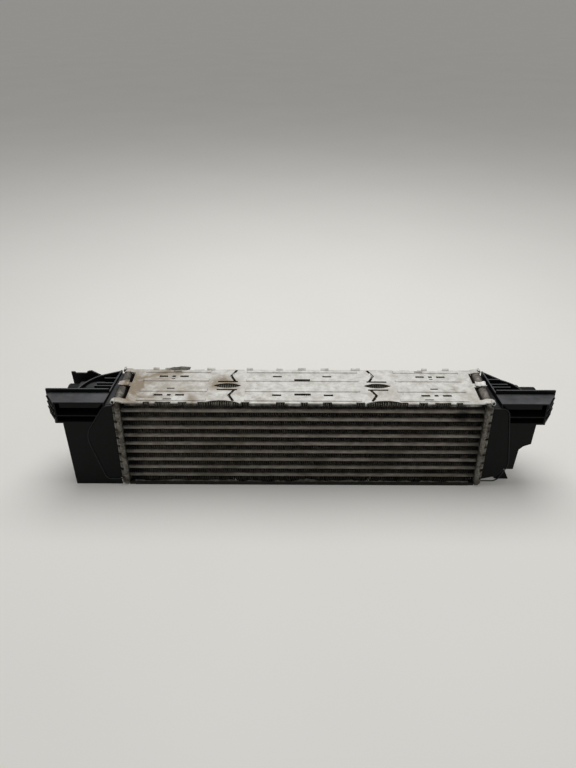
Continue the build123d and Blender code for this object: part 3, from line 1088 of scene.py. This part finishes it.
    def build_flap(self, sheet: bpy.types.Material) -> None:
        """Tear the rear edge up into a ragged flap near the left end.

        Args:
            sheet: The flap's material.
        """
        start, end = self.flap_run
        least, gain = self.flap_ramp
        shape = bmesh.new()
        bmesh.ops.create_grid(shape, x_segments=22, y_segments=5, size=0.5)
        for vertex in shape.verts:
            along = vertex.co.x + 0.5
            up = vertex.co.y + 0.5
            reach = self.flap_rise * min(1.0, least + gain * along) * up
            vertex.co = Vector(
                (
                    start + (end - start) * along + self.flap_skew * up,
                    self.half_depth - self.edge_inset + self.flap_lean * up * (1.0 - along),
                    self.plate_face() - self.flap_sink + reach,
                )
            )
        self.crumple(shape, *self.flap_dents)
        thicken(shape, self.flap_wall)
        self.hold_down(shape)
        add_piece("torn_flap", shape, sheet, smooth_angle=25.0)

    def build_rear_tabs(self, sheet: bpy.types.Material) -> None:
        """Bend up the small tabs between the notches of the rear edge.

        Args:
            sheet: The plate's material.
        """
        shape = bmesh.new()
        lean = Matrix.Rotation(math.radians(self.rear_tab_lean), 3, "X")
        y = self.half_depth - self.edge_inset
        z = self.plate_face() + self.rear_tab_lift
        for x, length in self.rear_tabs:
            verts = bmesh.ops.create_cube(shape, size=1.0)["verts"]
            bmesh.ops.scale(shape, vec=(length, *self.rear_tab_section), verts=verts)
            bmesh.ops.rotate(shape, matrix=lean, verts=verts)
            bmesh.ops.translate(shape, vec=(x, y, z), verts=verts)
        soften(shape, shape.edges[:], self.rear_tab_edge)
        add_piece("rear_tabs", shape, sheet)

    def build_burr(self, sheet: bpy.types.Material) -> None:
        """Fray the upper edge of the bottom plate's front lip.

        Args:
            sheet: The burr's material.
        """
        low, high = (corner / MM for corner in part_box("side_plate_bottom"))
        shape = bmesh.new()
        bmesh.ops.create_grid(shape, x_segments=220, y_segments=3, size=0.5)
        for vertex in shape.verts:
            x = low.x + (high.x - low.x) * (vertex.co.x + 0.5)
            up = vertex.co.y + 0.5
            ragged = noise.noise(Vector((x * 0.05, 1.7, self.seed)))
            fine = noise.noise(Vector((x * 0.21, 4.1, self.seed)))
            share = 0.45 + 0.8 * ragged + 0.3 * fine
            top = self.burr_low + (self.burr_high - self.burr_low) * share
            vertex.co = Vector(
                (
                    x,
                    self.burr_back - self.half_depth + self.burr_lean * up + 0.8 * fine,
                    self.burr_low + max(self.burr_least, top - self.burr_low) * up,
                )
            )
        thicken(shape, self.burr_wall)
        add_piece("bottom_burr", shape, sheet, smooth_angle=60.0)

    def build_bottom_tongues(self, side: Side, sheet: bpy.types.Material) -> None:
        """Reach from the bottom plate's end to the foot of the header, front and back.

        Args:
            side: The end of the plate.
            sheet: The bottom plate's material.
        """
        low, high = (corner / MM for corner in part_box("side_plate_bottom"))
        end = high.x if side is Side.RIGHT else low.x
        shape = bmesh.new()
        for way in (-1, 1):
            verts = bmesh.ops.create_cube(shape, size=1.0)["verts"]
            size = (self.foot_reach, self.foot_depth, self.foot_rise)
            bmesh.ops.scale(shape, vec=size, verts=verts)
            place = (
                end + side.value * (self.foot_reach / 2 - self.foot_overlap),
                way * (self.half_depth - self.foot_depth / 2 - self.foot_clear),
                low.z + self.foot_rise / 2 + self.foot_clear,
            )
            bmesh.ops.translate(shape, vec=place, verts=verts)
        soften(shape, shape.edges[:], self.foot_edge)
        add_piece(f"bottom_tongues_{side.label}", shape, sheet)

    def crumple(self, shape: bmesh.types.BMesh, pitch: float, depth: float) -> None:
        """Push a thin sheet in and out at random.

        Args:
            shape: The sheet, where it lies.
            pitch: Dents per millimetre.
            depth: How deep they are.
        """
        start = Vector((self.seed, 2.0, 5.0))
        for vertex in shape.verts:
            vertex.co.z += depth * noise.noise(vertex.co * pitch + start)
            vertex.co.y += 0.4 * depth * noise.noise(vertex.co * pitch * 1.7 - start)

    def hold_down(self, shape: bmesh.types.BMesh) -> None:
        """Keep a detail below the plate's ceiling and inside the header's depth.

        Args:
            shape: The detail, where it lies.
        """
        for vertex in shape.verts:
            vertex.co.z = min(vertex.co.z, self.ceiling)
            vertex.co.y = max(-self.rim_half, min(vertex.co.y, self.rim_half))

    def plate_face(self) -> float:
        """Height of the plate's flat top face, under its ribs."""
        low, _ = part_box("side_plate_top")
        return low.z / MM + self.lip_height


@dataclass
class Headers:
    """The crimped headers with their rolled end beads, in millimetres."""

    bead_radius: float = 6.6
    bead_x: float = 258.8
    bead_runs: tuple[tuple[float, float], ...] = ((-39.5, -1.2), (7.2, 39.5))
    bead_drop: float = 5.4  # bead's centre below the header's top
    bead_edge: float = 1.6
    bead_cuts: int = 14
    long_edge: float = 10.0  # edges longer than this run along a bead
    dent: float = 0.8
    dent_pitch: float = 0.14  # dents per millimetre
    dent_out: float = 0.3  # furthest that the surface stands out
    seed: int = 11

    def build(self) -> None:
        """Dress the headers and roll their end beads."""
        dress(["header_left", "header_right"], HEADER_METAL.build())
        dress(["gasket_left", "gasket_right"], SEAL_RUBBER.build())
        bead = BEAD_METAL.build()
        for side in Side:
            self.build_beads(side, bead)

    def build_beads(self, side: Side, metal: bpy.types.Material) -> None:
        """Roll the two beads that close the top of one header.

        Args:
            side: The header's side.
            metal: The beads' material.
        """
        _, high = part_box(f"header_{side.label}")
        centre_z = high.z / MM - self.bead_drop
        shape = bmesh.new()
        for start, end in self.bead_runs:
            verts = bmesh.ops.create_cone(
                shape,
                cap_ends=True,
                segments=28,
                radius1=self.bead_radius,
                radius2=self.bead_radius,
                depth=end - start,
            )["verts"]
            bmesh.ops.rotate(shape, matrix=Matrix.Rotation(math.pi / 2, 3, "X"), verts=verts)
            place = (side.value * self.bead_x, (start + end) / 2, centre_z)
            bmesh.ops.translate(shape, vec=place, verts=verts)
        caps = [f for f in shape.faces if len(f.verts) > 4]
        rims = list({e for f in caps for e in f.edges})
        soften(shape, rims, self.bead_edge, segments=3)
        long_edges = [
            e for e in shape.edges if abs(e.verts[0].co.y - e.verts[1].co.y) > self.long_edge
        ]
        bmesh.ops.subdivide_edges(shape, edges=long_edges, cuts=self.bead_cuts, use_grid_fill=True)
        start = Vector((self.seed * side.value, 3.0, 5.0))
        for vertex in shape.verts:
            push = noise.noise(vertex.co * self.dent_pitch + start) * self.dent
            away = Vector((vertex.co.x - side.value * self.bead_x, 0, vertex.co.z - centre_z))
            vertex.co += away.normalized() * min(push, self.dent_out)
        add_piece(f"header_beads_{side.label}", shape, metal)


@dataclass
class EndTanks:
    """The moulded end tanks with the seams round their air boxes, in millimetres."""

    front: float = -46.1
    seam_width: float = 0.9
    seam_rise: float = 0.5
    seam_sink: float = 1.2
    left_seam: tuple[tuple[float, float, float], ...] = (
        (265.6, 138.0, 0.0), (277.0, 138.0, 12.0), (309.5, 88.0, 34.0), (288.5, 9.5, 9.0),
        (265.6, 9.5, 0.0),
    )  # fmt: skip
    right_seam: tuple[tuple[float, float, float], ...] = (
        (265.6, 135.2, 0.0), (288.2, 135.2, 12.0), (302.6, 38.0, 22.0), (288.8, 8.0, 12.0),
        (265.6, 8.0, 0.0),
    )  # fmt: skip

    def build(self) -> None:
        """Dress the tanks and lay the seams."""
        dress(["tank_left", "tank_right"], TANK_PLASTIC.build())
        # the seams' lighter plastic is a painted highlight
        highlit_seam = SEAM_HIGHLIGHT_PLASTIC.build()
        for side, seam in ((Side.LEFT, self.left_seam), (Side.RIGHT, self.right_seam)):
            self.build_seam(side, seam, highlit_seam)

    def build_seam(
        self,
        side: Side,
        seam: tuple[tuple[float, float, float], ...],
        plastic: bpy.types.Material,
    ) -> None:
        """Raise a thin seam along the outline of an air box's front face.

        Args:
            side: The tank's side.
            seam: Reach, height and corner radius along the seam.
            plastic: The seam's material, lighter as a painted highlight.
        """
        shape = bmesh.new()
        line = [shape.verts.new((side.value * x, self.front, z)) for x, z, _ in seam]
        for start, end in zip(line, line[1:]):
            shape.edges.new((start, end))
        for vertex, (_, _, radius) in zip(line, seam):
            if radius:
                ahead, behind = (
                    (e.other_vert(vertex).co - vertex.co).normalized() for e in vertex.link_edges
                )
                half_turn = ahead.angle(behind) / 2
                bmesh.ops.bevel(
                    shape,
                    geom=[vertex],
                    offset=radius / math.tan(half_turn),
                    offset_type="OFFSET",
                    segments=10,
                    affect="VERTICES",
                    profile=0.5,
                    material=-1,
                )
        made = bmesh.ops.extrude_edge_only(shape, edges=shape.edges[:])
        walls = [v for v in made["geom"] if isinstance(v, bmesh.types.BMVert)]
        bmesh.ops.translate(shape, vec=(0.0, self.seam_sink, 0.0), verts=walls)
        kept = [v for v in shape.verts if v not in set(walls)]
        bmesh.ops.translate(shape, vec=(0.0, -self.seam_rise, 0.0), verts=kept)
        thicken(shape, self.seam_width)
        add_piece(f"box_seam_{side.label}", shape, plastic)


# ---------------------------------------------------------------------- studio


@dataclass
class Studio:
    """A plain floor, soft lamps and the camera, in metres and degrees."""

    camera_place: tuple[float, float, float] = (-0.0192, -0.8376, 0.6397)
    pitch: float = 30.48
    yaw: float = -0.10
    roll: float = -0.17
    focal_pixels: float = 675.4
    picture_height: float = 768.0
    sensor: float = 36.0
    floor_size: float = 120.0
    sky: float = 0.27
    lamps: tuple[tuple[str, tuple[float, float, float], float, float], ...] = (
        ("top_lamp", (0.05, 0.5, 1.7), 1.4, 24.0),  # name, place, size and power
        ("front_lamp", (0.5, -1.6, 1.1), 1.2, 2.5),
    )

    def build(self) -> None:
        """Set up the floor, the light and the camera."""
        self.build_floor()
        self.build_light()
        self.build_camera()

    def build_floor(self) -> None:
        """Lay the floor."""
        shape = bmesh.new()
        bmesh.ops.create_grid(shape, x_segments=1, y_segments=1, size=self.floor_size / 2)
        mesh = bpy.data.meshes.new("floor")
        shape.to_mesh(mesh)
        shape.free()
        mesh.materials.append(FLOOR_PAINT.build())
        floor = bpy.data.objects.new("floor", mesh)
        bpy.context.scene.collection.objects.link(floor)

    def build_light(self) -> None:
        """Hang the lamps and light the sky evenly."""
        scene = bpy.context.scene
        scene.view_settings.view_transform = "Standard"
        world = bpy.data.worlds.new("even_sky")
        world.use_nodes = True
        sky = world.node_tree.nodes["Background"]
        sky.inputs["Color"].default_value = (1.0, 1.0, 1.0, 1.0)
        sky.inputs["Strength"].default_value = self.sky
        scene.world = world
        for name, place, size, power in self.lamps:
            lamp = bpy.data.lights.new(name, "AREA")
            lamp.energy = power
            lamp.size = size
            holder = bpy.data.objects.new(name, lamp)
            holder.location = place
            holder.rotation_euler = (-Vector(place)).to_track_quat("-Z", "Y").to_euler()
            scene.collection.objects.link(holder)

    def build_camera(self) -> None:
        """Place the camera from its pitch, yaw and roll."""
        pitch, yaw, roll = (math.radians(a) for a in (self.pitch, self.yaw, self.roll))
        ahead = Vector(
            (math.sin(yaw) * math.cos(pitch), math.cos(yaw) * math.cos(pitch), -math.sin(pitch))
        )
        right = Vector((math.cos(yaw), -math.sin(yaw), 0))
        up = right.cross(ahead)
        right, up = (
            right * math.cos(roll) - up * math.sin(roll),
            up * math.cos(roll) + right * math.sin(roll),
        )
        data = bpy.data.cameras.new("camera")
        data.sensor_fit = "VERTICAL"
        data.sensor_height = self.sensor
        data.lens = self.sensor * self.focal_pixels / self.picture_height
        data.clip_start = 0.01
        camera = bpy.data.objects.new("camera", data)
        camera.matrix_world = Matrix.Translation(self.camera_place) @ (
            Matrix((right, up, -ahead)).transposed().to_4x4()
        )
        bpy.context.scene.collection.objects.link(camera)
        bpy.context.scene.camera = camera


def main() -> None:
    """Build the sub-assemblies in order, then the studio round them."""
    logging.basicConfig(level=logging.INFO, format="%(message)s")
    for assembly in (Core(), SidePlates(), Headers(), EndTanks(), Studio()):
        LOG.info("building %s", type(assembly).__name__)
        assembly.build()


if __name__ == "__main__":
    main()
